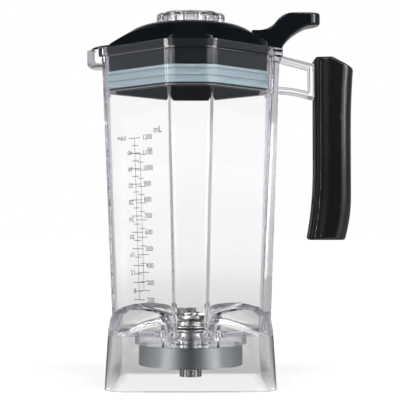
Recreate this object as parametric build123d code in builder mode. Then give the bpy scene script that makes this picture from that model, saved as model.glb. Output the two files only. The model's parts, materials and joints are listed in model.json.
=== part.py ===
from build123d import *
from math import cos, radians, sin, sqrt, tan
import os

# A clear blender jar with its black handle and lid, and the blade unit in its floor.
# Millimetres. The origin is on the drive axis, on the plane that the skirt stands on.
# +Z is up, +X points to the handle, -X to the spout and -Y to the front.

# Fits
running_gap = 0.05      # radial, between a turning shaft and its hole
fit_gap = 0.1           # around pieces that are pushed or screwed together
moulded_gap = 0.3       # between moulded pieces that move past each other
tolerance = 0.001       # for telling faces and edges apart

# Jar body, an octagon with narrow faces towards X and Y and wide faces on the diagonals
jar_height = 238.0
floor_under = 35.5      # underside of the floor
floor_thickness = 3.5
top_apothem = 63.5      # drive axis to a narrow face, outside, at the top
foot_apothem = 55.4     # the same at the floor's underside
handle_side_foot = 1.6  # the handle's side stands out by this much more there
top_narrow = 31.5       # width of a narrow face at the top
foot_narrow = 22.5
wall = 3.4
mouth_wall = 2.8        # above the ledge
handle_wall = 7.0       # thick wall on the handle's side
ledge_drop = 31.5       # from the top to the step that the lid's plug stops above
outer_edge_radius = 4.0
inner_edge_radius = 2.5
mouth_edge_radius = 11.0
floor_radius = 2.0
rim_height = 6.0
rim_reach = 2.2

# Skirt, a rounded square with a domed lobe under each wide face
skirt_half_width = 59.1
skirt_taper = 3.3       # degrees
skirt_corner_radius = 18.0
skirt_wall = 3.2
dome_radius = 120.0
dome_top = 65.0
deck_height = 37.0      # notch floor at the middle of each side
notch_width = 26.0
lobe_edge_radius = 4.0

# Boss under the floor, which the blade unit is clamped to
boss_diameter = 80.0
boss_drop = 7.7
boss_wall = 3.0
boss_rib = 2.0
boss_rib_count = 6
hub_wall = 4.0

# Spout
spout_overhang = 11.3   # past the body at its top
spout_width = 27.0
spout_depth = 12.5
spout_wall = 2.4
spout_lip_radius = 4.0

# Bracket between the body and the handle
bracket_length = 24.7
bracket_width = 23.0
bracket_flange = 2.8
bracket_web = 3.0
bracket_top_drop = 3.0  # of its top, below the jar's top, at the body
bracket_end_drop = 10.2  # the same at the handle
bracket_root_depth = 26.4
bracket_end_depth = 23.8

# Tongue of the jar inside the handle
tongue_width = 13.0
tongue_thickness = 8.0
tongue_rise = 14.0      # its foot above the handle's foot
tongue_set_back = 0.6   # behind the handle's front strip
neck_height = 17.0

# Handle
handle_space = 25.5     # between the body's top and the handle
handle_depth = 26.3
handle_width = 25.0
handle_length = 131.2
handle_top_drop = 4.8   # below the jar's top
front_curve_rise = 50.0  # the front face curves towards the jar below this height over the foot
handle_toe = 4.9        # how far it curves in
back_curve_rise = 32.0  # the same for the back face
back_toe = 4.6
back_flare_drop = 52.2  # the back flares out above this depth under the top
back_flare = 2.4
top_flat = 12.2         # behind this the top slopes down to the back
top_slope_drop = 7.4
handle_front_radius = 3.0
handle_back_radius = 9.0
handle_end_radius = 2.0
strip_thickness = 3.3
strip_seam = 0.2
grip_wall = 3.0

# Handle screws
screw_diameter = 3.5
screw_head_diameter = 6.4
screw_head_height = 2.0
screw_length = 20.0
screw_recess = 0.3      # heads below the strip's face
screw_count = 3
screw_foot_rise = 28.0  # of the lowest screw, over the handle's foot
screw_neck_drop = 11.4  # of the highest screw, under the jar's neck
screw_boss_diameter = 8.0

# Lid
lid_side_gap = 2.2      # to the mouth's narrow faces
lid_handle_gap = 1.5
lid_wide_gap = 0.6
lid_wall = 2.6
lid_lean = 9.2          # how far the wide sides lean in above the rim
lid_edge_radius = 5.0
dome_flat_inset = 36.5  # from the body's top to the flat middle
dome_rise = 18.5        # over the jar's top
dome_round = 31.0
dome_slope = 32.0       # degrees
lid_rounding = 2.0
plug_depth = 29.7
plug_lip = 1.0
groove_depth = 2.0

# Lid seal
seal_height = 12.1
seal_lip_count = 3
seal_lip_height = 2.0
seal_body_gap = 1.6     # between the lips the band stands this far off the mouth

# Spout tab and lift lever of the lid
tab_overhang = 8.4
tab_thickness = 3.9
tab_tip_thickness = 1.9
tab_width = 23.0
tab_root_inset = 7.5    # inside the lid's wall
tab_rounding = 1.2
lever_width = 20.0
lever_overhang = 29.8   # past the body at its top
lever_rise = 27.4       # over the jar's top
lever_tip_thickness = 8.2
lever_root_inset = 19.5  # inside the dome
lever_foot_overhang = 2.1
lever_curve_rise = 2.2
lever_curve_run = 19.0
lever_start_angle = 60.0
lever_tip_rise = 1.2
lever_dip_inset = 14.5  # where the top starts to rise
lever_dip_rise = 14.7
lever_crest_overhang = 10.5
lever_tip_radius = 8.0
lever_rounding = 1.5

# Cap
cap_diameter = 49.8
cap_height = 8.0
cap_lobes = 10
cap_scallop_radius = 6.0
cap_scallop_depth = 1.6
cap_wall = 2.5
cap_rounding = 1.5
cap_hole = 38.0
cap_plug_depth = 12.0
lug_reach = 2.6
lug_width = 10.0
cap_dish = 1.0
lug_height = 2.3
lug_slot_turn = 45.0    # the cap turns this far to bring its lugs to the slots

# Blade unit
shaft_diameter = 8.0
shaft_seat_diameter = 6.0
shaft_flats = 4.8
shaft_foot = 4.6
housing_diameter = 24.0
housing_neck_diameter = 22.4
housing_top = 44.0
housing_foot = 12.0
housing_rounding = 0.8
flange_diameter = 31.0
flange_thickness = 1.6
gasket_thickness = 0.8
gasket_overhang = 0.6
bearing_diameter = 19.0
bearing_width = 6.0
bearing_race = 1.7
ball_diameter = 3.0
ball_count = 8
ball_gap = 0.1
lower_bearing_foot = 14.5
spacer_height = 7.0
spacer_wall = 1.5
clip_thickness = 1.0
clip_groove = 0.8
clip_width = 2.0
clip_gap_width = 5.0
seal_diameter = 16.0
seal_thickness = 4.0
seal_space = 1.0        # between the upper bearing and the seal
nut_ring_diameter = 74.5
nut_ring_height = 15.2
nut_ring_wall = 3.0
nut_web = 4.0
nut_hub_diameter = 34.0
nut_hub_rise = 1.5
nut_chamfer = 0.6
nut_notch_width = 6.0
nut_notch_depth = 4.0
nut_notch_count = 4

# Blades
blade_thickness = 1.5
blade_lift = 0.5        # above the housing
blade_width = 13.0
blade_tip_width = 7.0
upper_blade_reach = 36.0
lower_blade_reach = 34.0
blade_bend_radius = 8.5
upper_blade_angle = 19.0
lower_blade_angle = 12.0
blade_rest_turn = 20.0  # of the upper blade, from the handle's plane
blade_cross_turn = 90.0  # between the two blades
blade_bevel = 2.5       # width of the ground bevel
blade_bevel_depth = 1.1
washer_diameter = 13.6
washer_height = 3.0
washer_rounding = 1.0
blade_nut_size = 6.8    # across flats
blade_nut_height = 2.8
stud_diameter = 4.2
stud_chamfer = 0.5

# Drive spline
spline_diameter = 15.9
spline_root_diameter = 13.2
spline_count = 18
spline_tooth_width = 1.3
spline_foot = 4.1
spline_height = 7.6

# Heights and sizes that follow
floor_top = floor_under + floor_thickness
boss_foot = floor_under - boss_drop
dome_center = dome_top - dome_radius
bore_diameter = housing_diameter + 2 * fit_gap
hub_diameter = bore_diameter + 2 * hub_wall
spout_foot = jar_height - spout_depth
spout_reach = top_apothem + spout_overhang
ledge_height = jar_height - ledge_drop
bracket_reach = top_apothem + bracket_length
bracket_top_root = jar_height - bracket_top_drop
bracket_top_end = jar_height - bracket_end_drop
bracket_foot_root = bracket_top_root - bracket_root_depth
bracket_foot_end = bracket_top_end - bracket_end_depth
handle_front_x = top_apothem + handle_space
handle_back_x = handle_front_x + handle_depth
handle_top = jar_height - handle_top_drop
handle_foot = handle_top - handle_length
handle_bend = handle_foot + front_curve_rise
back_bend = handle_foot + back_curve_rise
back_flare_start = handle_top - back_flare_drop
top_slope_x = handle_front_x + top_flat
tongue_foot = handle_foot + tongue_rise
dome_flat_radius = top_apothem - dome_flat_inset
dome_flat_height = jar_height + dome_rise
plug_foot = jar_height - plug_depth
tab_reach = top_apothem + tab_overhang
tab_root_x = top_apothem - tab_root_inset
lever_reach = top_apothem + lever_overhang
lever_top = jar_height + lever_rise
lever_root_x = top_apothem - lever_root_inset
lever_foot_x = top_apothem + lever_foot_overhang
lever_curve_foot = jar_height + lever_curve_rise
lever_dip_x = top_apothem - lever_dip_inset
lever_dip = jar_height + lever_dip_rise
lever_crest_x = top_apothem + lever_crest_overhang
upper_bearing_foot = lower_bearing_foot + bearing_width + spacer_height
bearing_top = upper_bearing_foot + bearing_width
seal_foot = bearing_top + seal_space
flange_foot = floor_top + gasket_thickness
nut_foot = boss_foot - nut_ring_height
blade_seat = housing_top + blade_lift
upper_blade_seat = blade_seat + blade_thickness
washer_seat = upper_blade_seat + blade_thickness
nut_seat = washer_seat + washer_height
stud_top = nut_seat + blade_nut_height
seal_top = plug_foot + plug_lip + seal_height
lever_tip_foot = lever_top - lever_tip_thickness
cap_seat = dome_flat_height
groove_foot = plug_foot + plug_lip
seal_lip_pitch = (seal_height - 2 * fit_gap - seal_lip_height) / (seal_lip_count - 1)
cap_plug_radius = cap_hole / 2 - moulded_gap
lug_top = cap_seat - groove_depth - lid_wall - moulded_gap
inner_race_diameter = shaft_diameter + 2 * bearing_race
ball_circle_radius = (bearing_diameter - 2 * bearing_race + inner_race_diameter) / 4
end_margin = 4.0        # blanks run past their ends by this before they are cut
neck_top = (bracket_top_end + bracket_foot_end + neck_height) / 2
tongue_front_x = handle_front_x + strip_thickness + tongue_set_back
tongue_back_x = tongue_front_x + tongue_thickness
screw_hole = screw_diameter + 2 * fit_gap
screw_seat_x = handle_front_x + screw_head_height + screw_recess
screw_tip_x = screw_seat_x + screw_length
lowest_screw = handle_foot + screw_foot_rise
highest_screw = neck_top - neck_height - screw_neck_drop
screw_pitch = (highest_screw - lowest_screw) / (screw_count - 1)
screw_places = [(0, lowest_screw + index * screw_pitch) for index in range(screw_count)]

os.makedirs("parts", exist_ok=True)


def outer_shape(height):
    """Return the jar's outside at a height: plain side, handle side, and reach of a wide face's line."""
    share = (height - floor_under) / (jar_height - floor_under)
    side = foot_apothem + share * (top_apothem - foot_apothem)
    narrow = foot_narrow + share * (top_narrow - foot_narrow)
    return side, side + (1 - share) * handle_side_foot, side + narrow / 2


def inset(shape, plain, handle, wide):
    """Pull an octagon's plain sides, handle side and wide faces in by three distances."""
    side, right, diagonal = shape
    return side - plain, right - handle, diagonal - wide * sqrt(2)


def body_shape(height):
    """Return the inside of the body at a height."""
    return inset(outer_shape(height), wall, handle_wall + wall - mouth_wall, wall)


def mouth_shape(height):
    """Return the inside of the mouth at a height."""
    return inset(outer_shape(height), mouth_wall, handle_wall, mouth_wall)


def octagon(height, shape, radius):
    """Draw an octagon at a height, with rounded corners."""
    side, right, diagonal = shape
    near = [
        (right, diagonal - right),
        (diagonal - side, side),
        (side - diagonal, side),
        (-side, diagonal - side),
    ]
    far = [(x, -y) for x, y in reversed(near)]
    with BuildSketch(Plane.XY.offset(height)) as outline:
        with BuildLine():
            Polyline(*near, *far, close=True)
        make_face()
        fillet(outline.vertices(), radius)
    return outline.sketch


def lobes(shrink):
    """Make the skirt with its four domed lobes as a solid, pulled in all round by a wall."""
    half_width = skirt_half_width - shrink
    corner = skirt_corner_radius - shrink
    narrowing = dome_top * tan(radians(skirt_taper))
    with BuildPart() as block:
        with BuildSketch():
            RectangleRounded(2 * half_width, 2 * half_width, corner)
        with BuildSketch(Plane.XY.offset(dome_top)):
            top_half_width = half_width - narrowing
            RectangleRounded(2 * top_half_width, 2 * top_half_width, corner - narrowing / 2)
        loft()
        with Locations((0, 0, dome_center)):
            Sphere(dome_radius - shrink, mode=Mode.INTERSECT)
        with BuildSketch(Plane.XY.offset(deck_height - shrink)):
            with PolarLocations(0, 4):
                with Locations((skirt_half_width, 0)):
                    Rectangle(skirt_half_width, notch_width + 2 * shrink)
        extrude(amount=dome_top, mode=Mode.SUBTRACT)
        domed_edges = block.faces().filter_by(GeomType.SPHERE).edges()
        notch_edges = block.edges().filter_by(is_notch_mouth)
        fillet(domed_edges + notch_edges, lobe_edge_radius)
    return block.part


def is_notch_mouth(edge):
    """Tell the upright edges where a notch opens through the skirt's sides."""
    middle = edge.center()
    reach = max(abs(middle.X), abs(middle.Y))
    across = min(abs(middle.X), abs(middle.Y))
    at_side = reach > foot_apothem - skirt_wall and notch_width / 4 < across < notch_width
    return at_side and middle.Z > deck_height - skirt_wall


with BuildPart() as skirt_hollow:
    add(lobes(skirt_wall))
    body_foot = octagon(floor_under, outer_shape(floor_under), outer_edge_radius)
    body_above_skirt = octagon(dome_top, outer_shape(dome_top), outer_edge_radius)
    loft(sections=[body_foot, body_above_skirt], mode=Mode.SUBTRACT)

with BuildPart() as jar_inside:
    inside_foot = octagon(floor_top, body_shape(floor_top), inner_edge_radius)
    inside_ledge = octagon(ledge_height, body_shape(ledge_height), inner_edge_radius)
    loft(sections=[inside_foot, inside_ledge])
    fillet(jar_inside.faces().sort_by(Axis.Z)[0].edges(), floor_radius)
    mouth_foot = octagon(ledge_height, mouth_shape(ledge_height), mouth_edge_radius)
    mouth_top = octagon(jar_height, mouth_shape(jar_height), mouth_edge_radius)
    loft(sections=[mouth_foot, mouth_top])

with BuildPart() as spout_block:
    with BuildSketch(Plane.XY.offset(spout_foot)):
        with Locations((spout_width / 2 - spout_reach, 0)):
            Circle(spout_width / 2)
    extrude(amount=spout_depth)
    fillet(spout_block.faces().sort_by(Axis.Z)[0].edges(), spout_lip_radius)

with BuildPart() as spout_channel:
    with BuildSketch(Plane.XY.offset(spout_foot + spout_wall)):
        with Locations((spout_width / 2 - spout_reach, 0)):
            Circle(spout_width / 2 - spout_wall)
    extrude(amount=spout_depth)
    fillet(spout_channel.faces().sort_by(Axis.Z)[0].edges(), spout_lip_radius - spout_wall)


def bracket_side():
    """Draw the bracket from the side: X to the right, Z up."""
    root = top_apothem - handle_wall / 2
    with BuildSketch() as side:
        with BuildLine():
            top = Line((root, bracket_top_root), (bracket_reach, bracket_top_end))
            foot_ends = (root, bracket_foot_root), (bracket_reach, bracket_foot_end)
            foot = TangentArc(*foot_ends, tangent=(1, 0))
            Line(top @ 1, foot @ 1)
            Line(top @ 0, foot @ 0)
        make_face()
    return side.sketch


with BuildPart() as bracket:
    with BuildSketch(Plane.XZ):
        add(bracket_side())
        offset(amount=-bracket_flange, kind=Kind.INTERSECTION, mode=Mode.SUBTRACT)
    extrude(amount=bracket_width / 2, both=True)
    with BuildSketch(Plane.XZ):
        add(bracket_side())
    extrude(amount=bracket_web / 2, both=True)

with BuildPart() as jar:
    # Body and rim
    body_top = octagon(jar_height, outer_shape(jar_height), outer_edge_radius)
    loft(sections=[body_foot, body_top])
    rim_shape = inset(outer_shape(jar_height), -rim_reach, -rim_reach, -rim_reach)
    rim_top = octagon(jar_height, rim_shape, outer_edge_radius + rim_reach)
    extrude(rim_top, amount=-rim_height)
    chamfer(jar.faces().filter_by(Axis.Z).sort_by(Axis.Z)[1].outer_wire().edges(), rim_reach / 2)
    # Skirt
    add(lobes(0))
    add(skirt_hollow.part, mode=Mode.SUBTRACT)
    # Spout, bracket and tongue
    add(spout_block.part)
    add(bracket.part)
    with BuildSketch(Plane.XZ):
        with BuildLine():
            Polyline(
                (bracket_reach - bracket_flange, neck_top),
                (tongue_back_x, neck_top),
                (tongue_back_x, tongue_foot),
                (tongue_front_x, tongue_foot),
                (tongue_front_x, neck_top - neck_height),
                (bracket_reach - bracket_flange, neck_top - neck_height),
                close=True,
            )
        make_face()
    extrude(amount=tongue_width / 2, both=True)
    with BuildSketch(Plane.YZ.offset(tongue_front_x)):
        with Locations(*screw_places):
            Circle(screw_hole / 2)
    extrude(amount=tongue_thickness, mode=Mode.SUBTRACT)
    # Boss, hub and ribs under the floor
    with BuildSketch(Plane.XY.offset(boss_foot)):
        Circle(boss_diameter / 2)
        Circle(boss_diameter / 2 - boss_wall, mode=Mode.SUBTRACT)
        Circle(hub_diameter / 2)
        with PolarLocations((boss_diameter - boss_wall) / 4 + hub_diameter / 4, boss_rib_count):
            Rectangle((boss_diameter - boss_wall - hub_diameter) / 2 + boss_wall, boss_rib)
    extrude(amount=boss_drop + floor_thickness / 2)
    # Inside, spout channel and the hole for the blade unit
    add(jar_inside.part, mode=Mode.SUBTRACT)
    add(spout_channel.part, mode=Mode.SUBTRACT)
    with BuildSketch(Plane.XY.offset(boss_foot)):
        Circle(bore_diameter / 2)
    extrude(amount=boss_drop + floor_thickness, mode=Mode.SUBTRACT)
jar.part.label = "jar"
export_step(jar.part, "parts/jar.step")


def curve_in(drop, run, toe):
    """Return how far a face has curved in after a drop, if it curves in by toe over run."""
    radius = (run**2 + toe**2) / (2 * toe)
    return radius - sqrt(radius**2 - drop**2)


def front_curve(shift):
    """Return the top, bend and toe of the handle's front face, moved back and run past both ends."""
    front = handle_front_x + shift
    drop = handle_bend - handle_foot + end_margin
    toe = curve_in(drop, handle_bend - handle_foot, handle_toe)
    return (front, handle_top + end_margin), (front, handle_bend), (front - toe, handle_foot - end_margin)


def handle_form(shrink):
    """Make the whole handle as one solid, with its back, sides and ends pulled in by a wall."""
    back = handle_back_x - shrink
    half_width = handle_width / 2 - shrink
    foot_z = handle_foot - end_margin
    top_z = handle_top + end_margin
    back_drop = curve_in(back_bend - foot_z, back_bend - handle_foot, back_toe)
    flare = curve_in(top_z - back_flare_start, handle_top - back_flare_start, back_flare)
    front_top, front_bend, front_toe = front_curve(0)
    with BuildPart() as form:
        with BuildSketch(Plane.XZ):
            with BuildLine():
                Line(front_top, front_bend)
                TangentArc(front_bend, front_toe, tangent=(0, -1))
                Line(front_toe, (back - back_drop, foot_z))
                TangentArc((back, back_bend), (back - back_drop, foot_z), tangent=(0, -1))
                Line((back, back_bend), (back, back_flare_start))
                TangentArc((back, back_flare_start), (back + flare, top_z), tangent=(0, 1))
                Line((back + flare, top_z), front_top)
            make_face()
        extrude(amount=half_width, both=True)
        side_edges = form.faces().filter_by(Axis.Y).edges()
        back_edges = side_edges.filter_by(lambda edge: edge.center().X > back - back_toe - flare)
        front_limit = handle_front_x + handle_front_radius
        front_edges = side_edges.filter_by(lambda edge: edge.center().X < front_limit)
        fillet(back_edges, handle_back_radius - shrink)
        if shrink == 0:
            fillet(front_edges, handle_front_radius)
        # Flat top that slopes down to the back, and flat foot
        slope_end = handle_back_x + back_flare + end_margin
        slope_fall = top_slope_drop * (slope_end - top_slope_x) / (handle_back_x - top_slope_x)
        with BuildSketch(Plane.XZ):
            with BuildLine():
                Polyline(
                    (handle_front_x - end_margin, handle_top - shrink),
                    (top_slope_x, handle_top - shrink),
                    (slope_end, handle_top - shrink - slope_fall),
                    (slope_end, top_z + end_margin),
                    (handle_front_x - end_margin, top_z + end_margin),
                    close=True,
                )
            make_face()
        extrude(amount=handle_width, both=True, mode=Mode.SUBTRACT)
        split(bisect_by=Plane.XY.offset(handle_foot + shrink), keep=Keep.TOP)
        if shrink == 0:
            end_faces = form.faces().sort_by(Axis.Z)
            slope_edges = form.faces().filter_by(is_top_slope).edges()
            fillet(end_faces[0].edges() + end_faces[-1].edges() + slope_edges, handle_end_radius)
    return form.part


def is_top_slope(face):
    """Tell the flat face that slopes from the handle's top to its back."""
    normal = face.normal_at()
    return face.geom_type == GeomType.PLANE and tolerance < normal.X < normal.Z


def ahead_of_seam(shift):
    """Draw the region in front of the handle's seam, from the side."""
    top, bend, toe = front_curve(shift)
    with BuildSketch() as side:
        with BuildLine():
            Line(top, bend)
            TangentArc(bend, toe, tangent=(0, -1))
            Polyline(toe, (toe[0] - handle_width, toe[1]), (toe[0] - handle_width, top[1]), top)
        make_face()
    return side.sketch


handle_solid = handle_form(0)

with BuildPart() as handle_front:
    add(handle_solid)
    with BuildSketch(Plane.XZ):
        add(ahead_of_seam(strip_thickness))
    extrude(amount=handle_width, both=True, mode=Mode.INTERSECT)
    # Bosses that reach back to the tongue
    with BuildSketch(Plane.YZ.offset(screw_seat_x)):
        with Locations(*screw_places):
            Circle(screw_boss_diameter / 2)
    extrude(amount=tongue_front_x - screw_seat_x)
    # Window for the jar's neck, and the screws' holes and head recesses
    with BuildSketch(Plane.YZ.offset(handle_front_x)):
        with Locations((0, neck_top - neck_height / 2)):
            Rectangle(tongue_width + 2 * fit_gap, neck_height + 2 * fit_gap)
    extrude(amount=handle_width / 2, both=True, mode=Mode.SUBTRACT)
    with BuildSketch(Plane.YZ.offset(screw_seat_x)):
        with Locations(*screw_places):
            Circle(screw_head_diameter / 2 + fit_gap)
    extrude(amount=-handle_width, mode=Mode.SUBTRACT)
    with BuildSketch(Plane.YZ.offset(screw_seat_x)):
        with Locations(*screw_places):
            Circle(screw_hole / 2)
    extrude(amount=handle_width, mode=Mode.SUBTRACT)
handle_front.part.label = "handle_front"
export_step(handle_front.part, "parts/handle_front.step")

with BuildPart() as handle_grip:
    add(handle_solid)
    add(handle_form(grip_wall), mode=Mode.SUBTRACT)
    with BuildSketch(Plane.YZ.offset(tongue_back_x)):
        with Locations(*screw_places):
            Circle(screw_boss_diameter / 2)
    extrude(amount=handle_back_x - grip_wall / 2 - tongue_back_x)
    with BuildSketch(Plane.XZ):
        add(ahead_of_seam(strip_thickness + strip_seam))
    extrude(amount=handle_width, both=True, mode=Mode.SUBTRACT)
    with BuildSketch(Plane.YZ.offset(tongue_back_x)):
        with Locations(*screw_places):
            Circle(screw_hole / 2)
    extrude(amount=screw_tip_x + fit_gap - tongue_back_x, mode=Mode.SUBTRACT)
handle_grip.part.label = "handle_grip"
export_step(handle_grip.part, "parts/handle_grip.step")

with BuildPart() as handle_screws:
    with BuildSketch(Plane.YZ.offset(screw_seat_x)):
        with Locations(*screw_places):
            Circle(screw_head_diameter / 2)
    extrude(amount=-screw_head_height)
    with BuildSketch(Plane.YZ.offset(screw_seat_x)):
        with Locations(*screw_places):
            Circle(screw_diameter / 2)
    extrude(amount=screw_length)
handle_screws.part.label = "handle_screws"
export_step(handle_screws.part, "parts/handle_screws.step")


def lid_dome(shrink):
    """Make the solid under the lid's dome, lowered by a wall."""
    slope = radians(dome_slope)
    flat_z = dome_flat_height - shrink
    round_end = (dome_flat_radius + dome_round * sin(slope), flat_z - dome_round * (1 - cos(slope)))
    reach = top_apothem + top_narrow / 2
    slope_end = (reach, round_end[1] - (reach - round_end[0]) * tan(slope))
    with BuildPart() as solid:
        with BuildSketch(Plane.XZ):
            with BuildLine():
                Line((0, flat_z), (dome_flat_radius, flat_z))
                TangentArc((dome_flat_radius, flat_z), round_end, tangent=(1, 0))
                Polyline(round_end, slope_end, (reach, plug_foot), (0, plug_foot), (0, flat_z))
            make_face()
        revolve(axis=Axis.Z)
    return solid.part


def lid_form(shrink):
    """Make the lid's octagonal body under its dome as a solid, pulled in by a wall."""
    side_gap = lid_side_gap + shrink
    plug_low_shape = inset(mouth_shape(plug_foot), side_gap, side_gap, side_gap)
    plug_high_shape = inset(mouth_shape(jar_height), side_gap, side_gap, side_gap)
    top_gaps = side_gap, lid_handle_gap + shrink, lid_wide_gap + shrink
    top_low_shape = inset(mouth_shape(jar_height), *top_gaps)
    top_high_shape = inset(top_low_shape, 0, 0, lid_lean)
    with BuildPart() as form:
        plug_low = octagon(plug_foot, plug_low_shape, mouth_edge_radius - side_gap)
        plug_high = octagon(jar_height, plug_high_shape, mouth_edge_radius - side_gap)
        loft(sections=[plug_low, plug_high])
        top_low = octagon(jar_height, top_low_shape, lid_edge_radius - shrink)
        top_high = octagon(dome_flat_height, top_high_shape, lid_edge_radius - shrink)
        loft(sections=[top_low, top_high])
        add(lid_dome(shrink), mode=Mode.INTERSECT)
    return form.part


def is_tab_top(face):
    """Tell the tab's sloping top."""
    return face.geom_type == GeomType.PLANE and tolerance < face.normal_at().Z < 1 - tolerance


def is_clear_of_lid(edge):
    """Tell the tab's edges that lie outside the lid's wall."""
    return edge.center().X < -tab_root_x - tab_rounding


def is_lever_rim(edge):
    """Tell the edges around the lever's top and underside, outside the lid's wall."""
    middle = edge.center()
    at_sides = abs((edge @ 0).Y) > tolerance and abs((edge @ 1).Y) > tolerance
    outside = middle.X > lever_dip_x and middle.Z > lever_curve_foot + tolerance
    return at_sides and outside and not is_upright(edge)


def is_upright(edge):
    """Tell straight edges that run along Z."""
    return edge.geom_type == GeomType.LINE and abs(edge.tangent_at(0).Z) > 1 - tolerance


with BuildPart() as lever:
    with BuildSketch(Plane.XZ):
        with BuildLine():
            Polyline(
                (lever_root_x, jar_height),
                (lever_foot_x, jar_height),
                (lever_foot_x, lever_curve_foot),
            )
            under = TangentArc(
                (lever_foot_x, lever_curve_foot),
                (lever_foot_x + lever_curve_run, lever_tip_foot - lever_tip_rise),
                tangent=(cos(radians(lever_start_angle)), sin(radians(lever_start_angle))),
            )
            Polyline(
                under @ 1,
                (lever_reach, lever_tip_foot),
                (lever_reach, lever_top),
                (lever_crest_x, lever_top),
            )
            middle = ((lever_dip_x + lever_crest_x) / 2, (lever_dip + lever_top) / 2)
            TangentArc((lever_crest_x, lever_top), middle, tangent=(-1, 0))
            TangentArc((lever_dip_x, lever_dip), middle, tangent=(1, 0))
            Polyline((lever_dip_x, lever_dip), (lever_root_x, lever_dip), (lever_root_x, jar_height))
        make_face()
    extrude(amount=lever_width / 2, both=True)
    tip_edges = lever.edges().filter_by(Axis.Z).group_by(Axis.X)[-1]
    fillet(tip_edges, lever_tip_radius)
    fillet(lever.edges().filter_by(is_lever_rim), lever_rounding)

with BuildPart() as spout_tab:
    with BuildSketch(Plane.XZ):
        with BuildLine():
            Polyline(
                (-tab_root_x, jar_height),
                (-tab_reach, jar_height),
                (-tab_reach, jar_height + tab_tip_thickness),
                (-tab_root_x, jar_height + tab_thickness),
                close=True,
            )
        make_face()
    extrude(amount=tab_width / 2, both=True)
    with BuildSketch(Plane.XY.offset(jar_height)):
        with Locations((tab_width / 2 - tab_reach, 0)):
            Circle(tab_width / 2)
            Rectangle(tab_width, tab_width, align=(Align.MIN, Align.CENTER))
    extrude(amount=tab_thickness, mode=Mode.INTERSECT)
    fillet(spout_tab.faces().filter_by(is_tab_top).edges().filter_by(is_clear_of_lid), tab_rounding)


def seal_band(outer_gap, inner_gap, foot, top):
    """Make an octagonal band between two distances from the jar's mouth."""
    sections = []
    for gap in (outer_gap, inner_gap):
        for height in (foot, top):
            shape = inset(mouth_shape(height), gap, gap, gap)
            sections.append(octagon(height, shape, mouth_edge_radius - gap))
    with BuildPart() as band:
        loft(sections=sections[:2])
        loft(sections=sections[2:], mode=Mode.SUBTRACT)
    return band.part


with BuildPart() as lid:
    add(lid_form(0))
    cone_edges = lid.faces().filter_by(GeomType.CONE).edges()
    fillet(cone_edges.filter_by(GeomType.CIRCLE, reverse=True), lid_rounding)
    add(lever.part)
    add(spout_tab.part)
    # Hollow inside, groove for the seal, and the cap's hole with two slots for its lugs
    add(lid_form(groove_depth + lid_wall), mode=Mode.SUBTRACT)
    add(seal_band(lid_side_gap, lid_side_gap + groove_depth, groove_foot, seal_top), mode=Mode.SUBTRACT)
    with BuildSketch(Plane.XY.offset(dome_flat_height)):
        Circle(cap_hole / 2)
        with PolarLocations(cap_hole / 2, 2, start_angle=90 + lug_slot_turn):
            Rectangle(2 * (lug_reach + fit_gap), lug_width + 2 * moulded_gap)
    extrude(amount=-cap_plug_depth, mode=Mode.SUBTRACT)
lid.part.label = "lid"
export_step(lid.part, "parts/lid.step")

with BuildPart() as lid_seal:
    band_inner_gap = lid_side_gap + groove_depth - fit_gap
    add(seal_band(seal_body_gap, band_inner_gap, groove_foot + fit_gap, seal_top - fit_gap))
    for index in range(seal_lip_count):
        lip_foot = groove_foot + fit_gap + index * seal_lip_pitch
        add(seal_band(moulded_gap, seal_body_gap + fit_gap, lip_foot, lip_foot + seal_lip_height))
lid_seal.part.label = "lid_seal"
export_step(lid_seal.part, "parts/lid_seal.step")

with BuildPart() as cap:
    # Grip, scalloped all round
    with BuildSketch(Plane.XY.offset(cap_seat)) as grip_plan:
        Circle(cap_diameter / 2)
        with PolarLocations(cap_diameter / 2 + cap_scallop_radius - cap_scallop_depth, cap_lobes):
            Circle(cap_scallop_radius, mode=Mode.SUBTRACT)
        fillet(grip_plan.vertices(), cap_rounding)
    extrude(amount=cap_height)
    fillet(cap.faces().sort_by(Axis.Z)[-1].edges(), cap_rounding)
    # Plug with its two lugs, hollow from below
    with BuildSketch(Plane.XY.offset(cap_seat - cap_plug_depth)):
        Circle(cap_plug_radius)
    extrude(amount=cap_plug_depth)
    with BuildSketch(Plane.XY.offset(lug_top)):
        with PolarLocations(cap_plug_radius, 2, start_angle=90):
            Rectangle(2 * lug_reach, lug_width)
    extrude(amount=-lug_height)
    with BuildSketch(Plane.XY.offset(cap_seat - cap_plug_depth)):
        Circle(cap_plug_radius - cap_wall)
    extrude(amount=cap_plug_depth + cap_height - cap_wall, mode=Mode.SUBTRACT)
    # Shallow dish in the top
    with BuildSketch(Plane.XY.offset(cap_seat + cap_height)):
        Circle(cap_plug_radius - cap_wall)
    extrude(amount=-cap_dish, taper=45, mode=Mode.SUBTRACT)
cap.part.label = "cap"
export_step(cap.part, "parts/cap.step")


def ring(foot, height, outer_diameter, inner_diameter):
    """Make a plain ring on the drive axis."""
    with BuildPart() as solid:
        with BuildSketch(Plane.XY.offset(foot)):
            Circle(outer_diameter / 2)
            Circle(inner_diameter / 2, mode=Mode.SUBTRACT)
        extrude(amount=height)
    return solid.part


def flatted_round(height, gap):
    """Draw the shaft's round seat with its two flats, grown by a gap."""
    with BuildSketch(Plane.XY.offset(height)) as section:
        Circle(shaft_seat_diameter / 2 + gap)
        Rectangle(shaft_seat_diameter + 2 * gap, shaft_flats + 2 * gap, mode=Mode.INTERSECT)
    return section.sketch


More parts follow.
